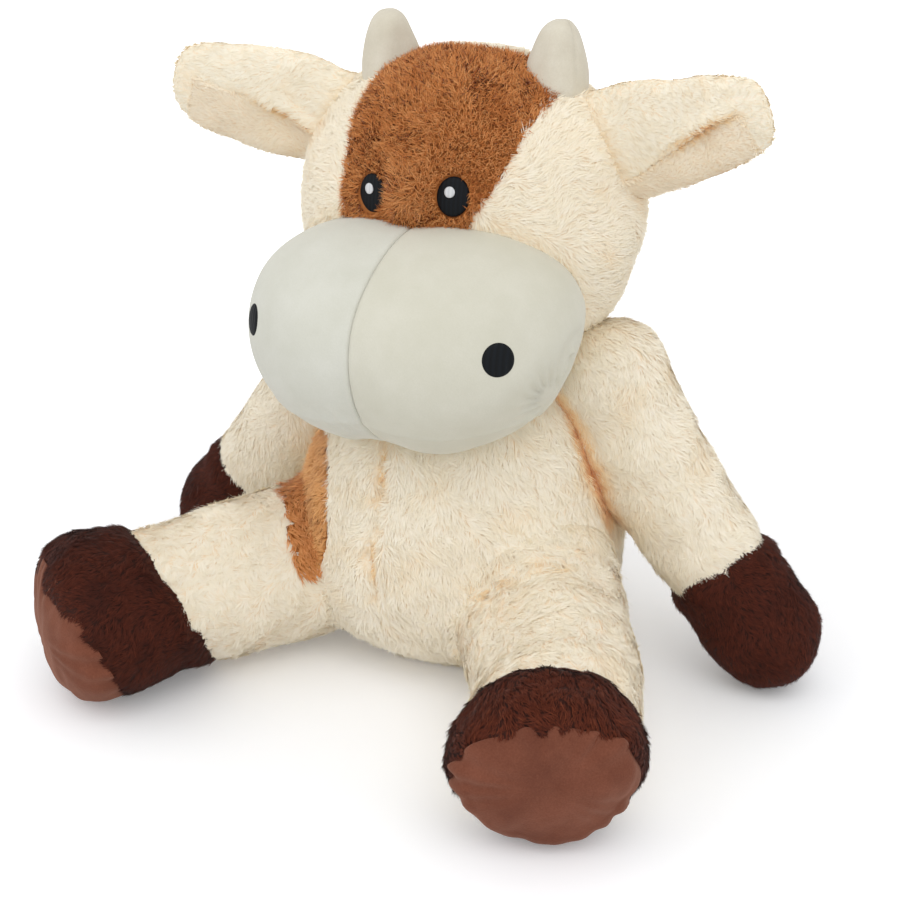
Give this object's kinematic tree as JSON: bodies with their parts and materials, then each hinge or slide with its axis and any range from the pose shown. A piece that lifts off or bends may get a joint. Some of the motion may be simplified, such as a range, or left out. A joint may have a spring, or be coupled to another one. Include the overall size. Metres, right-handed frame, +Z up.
{
  "type": "plush cow",
  "caption": "Sitting plush cow with a smooth muzzle, soft horns, floppy ears, brown hooves and a weighted seat, whose limbs, head and tail flex at their seams.",
  "frame": {"origin": "on the floor, in the middle of the seat's flat underside", "axes": "+X to the cow's left, -Y to its front, +Z up"},
  "size_m": [0.4458, 0.3588, 0.3749],
  "materials": {
    "cream_pile": "long soft pile",
    "tan_pile": "long soft pile",
    "brown_pile": "long soft pile",
    "brown_nap": "short smooth nap",
    "pale_nap": "short smooth nap",
    "lining_nap": "short smooth nap",
    "dark_thread": "satin-stitched thread",
    "pale_thread": "satin-stitched thread",
    "fibre_fill": "loose polyester fibre",
    "pellets": "bag of small beads"
  },
  "bodies": {
    "torso": {"body_front_left": "cream_pile", "body_front_right": "cream_pile", "body_back_left": "cream_pile", "body_back_right": "cream_pile", "flank_patch": "tan_pile", "seat_panel": "cream_pile", "body_stuffing": "fibre_fill", "seat_pellet_bag": "pellets"},
    "head": {"head_side_left": "cream_pile", "head_side_right": "cream_pile", "head_back_gusset": "cream_pile", "forehead_patch": "tan_pile", "muzzle_left": "pale_nap", "muzzle_right": "pale_nap", "head_stuffing": "fibre_fill", "eye_left": "dark_thread", "eye_right": "dark_thread", "eye_highlight_left": "pale_thread", "eye_highlight_right": "pale_thread", "nostril_left": "dark_thread", "nostril_right": "dark_thread", "horn_left_cover": "pale_nap", "horn_right_cover": "pale_nap", "horn_left_stuffing": "fibre_fill", "horn_right_stuffing": "fibre_fill"},
    "arm_left": {"arm_left_cover": "cream_pile", "arm_left_hoof": "brown_pile", "arm_left_stuffing": "fibre_fill"},
    "arm_right": {"arm_right_cover": "cream_pile", "arm_right_hoof": "brown_pile", "arm_right_stuffing": "fibre_fill"},
    "leg_left": {"leg_left_cover": "cream_pile", "leg_left_hoof": "brown_pile", "leg_left_sole": "brown_nap", "leg_left_stuffing": "fibre_fill"},
    "leg_right": {"leg_right_cover": "cream_pile", "leg_right_hoof": "brown_pile", "leg_right_sole": "brown_nap", "leg_right_stuffing": "fibre_fill"},
    "ear_left": {"ear_left_outer": "cream_pile", "ear_left_lining": "lining_nap"},
    "ear_right": {"ear_right_outer": "cream_pile", "ear_right_lining": "lining_nap"},
    "tail": {"tail_stem": "cream_pile", "tail_tuft": "brown_pile"}
  },
  "joints": [
    {"name": "neck_nod", "type": "hinge", "parent": "torso", "child": "head", "pos_m": [0, 0.008, 0.176], "axis": [1, 0, 0], "range_deg": [-10, 8], "stiffness_Nm_per_rad": 6},
    {"name": "arm_left_swing", "type": "hinge", "parent": "torso", "child": "arm_left", "pos_m": [0.086, 0.01, 0.166], "axis": [0, -1, 0], "range_deg": [-8, 35], "stiffness_Nm_per_rad": 0.5},
    {"name": "arm_right_swing", "type": "hinge", "parent": "torso", "child": "arm_right", "pos_m": [-0.086, 0.01, 0.166], "axis": [0, 1, 0], "range_deg": [-8, 35], "stiffness_Nm_per_rad": 0.5},
    {"name": "leg_left_swing", "type": "hinge", "parent": "torso", "child": "leg_left", "pos_m": [0.064, -0.046, 0.047], "axis": [-0.891, -0.454, 0], "range_deg": [-5, 22], "stiffness_Nm_per_rad": 0.6},
    {"name": "leg_right_swing", "type": "hinge", "parent": "torso", "child": "leg_right", "pos_m": [-0.064, -0.046, 0.047], "axis": [-0.8192, 0.5736, 0], "range_deg": [-5, 22], "stiffness_Nm_per_rad": 0.6},
    {"name": "ear_left_swing", "type": "hinge", "parent": "head", "child": "ear_left", "pos_m": [0.07997, 0.008, 0.31197], "axis": [-0.4067, -0.9135, 0], "range_deg": [-20, 10], "stiffness_Nm_per_rad": 0.4},
    {"name": "ear_right_swing", "type": "hinge", "parent": "head", "child": "ear_right", "pos_m": [-0.07997, 0.008, 0.31197], "axis": [-0.4067, 0.9135, 0], "range_deg": [-20, 10], "stiffness_Nm_per_rad": 0.4},
    {"name": "tail_swing", "type": "hinge", "parent": "torso", "child": "tail", "pos_m": [0, 0.07, 0.056], "axis": [1, 0, 0], "range_deg": [0, 50], "stiffness_Nm_per_rad": 0.1}
  ]
}
